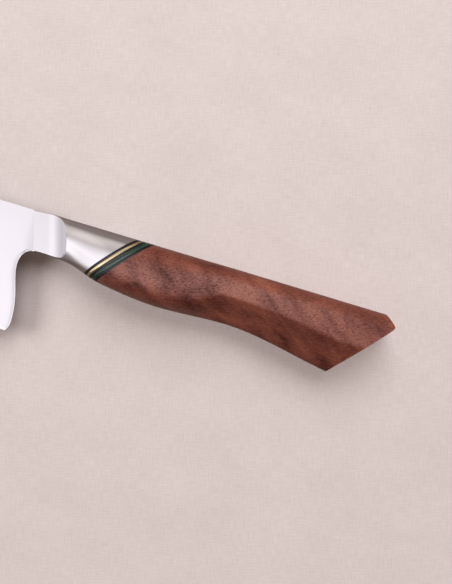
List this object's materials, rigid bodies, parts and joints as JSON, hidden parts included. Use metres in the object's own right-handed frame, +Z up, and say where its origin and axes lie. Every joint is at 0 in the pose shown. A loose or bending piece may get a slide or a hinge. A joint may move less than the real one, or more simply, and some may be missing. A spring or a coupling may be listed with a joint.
{
  "type": "santoku knife",
  "caption": "Santoku kitchen knife with a flat-ground steel blade, slanted plunge bolster, slanted spacer stack and a wooden handle that turns from oval to faceted.",
  "frame": {"origin": "middle of the knife's box, on the surface that the knife lies on", "axes": "+X along the knife towards the butt, +Y towards the spine, +Z up, normal to the blade"},
  "size_m": [0.3282, 0.0506, 0.021],
  "materials": {
    "blade_steel": "fine satin, brushed across the blade",
    "bolster_steel": "fine satin, nearly polished",
    "tang_steel": "as rolled, hidden",
    "black_fibre": "satin, sanded flush",
    "brass": "polished flush",
    "green_laminate": "satin, sanded flush",
    "handle_wood": "fine-sanded and oiled",
    "epoxy": "cured adhesive, hidden"
  },
  "bodies": {
    "root": {"blade": "blade_steel", "bolster": "bolster_steel", "tang": "tang_steel", "front_liner": "black_fibre", "brass_spacer": "brass", "middle_liner": "black_fibre", "green_spacer": "green_laminate", "rear_liner": "black_fibre", "handle": "handle_wood", "tang_epoxy": "epoxy"}
  },
  "joints": []
}
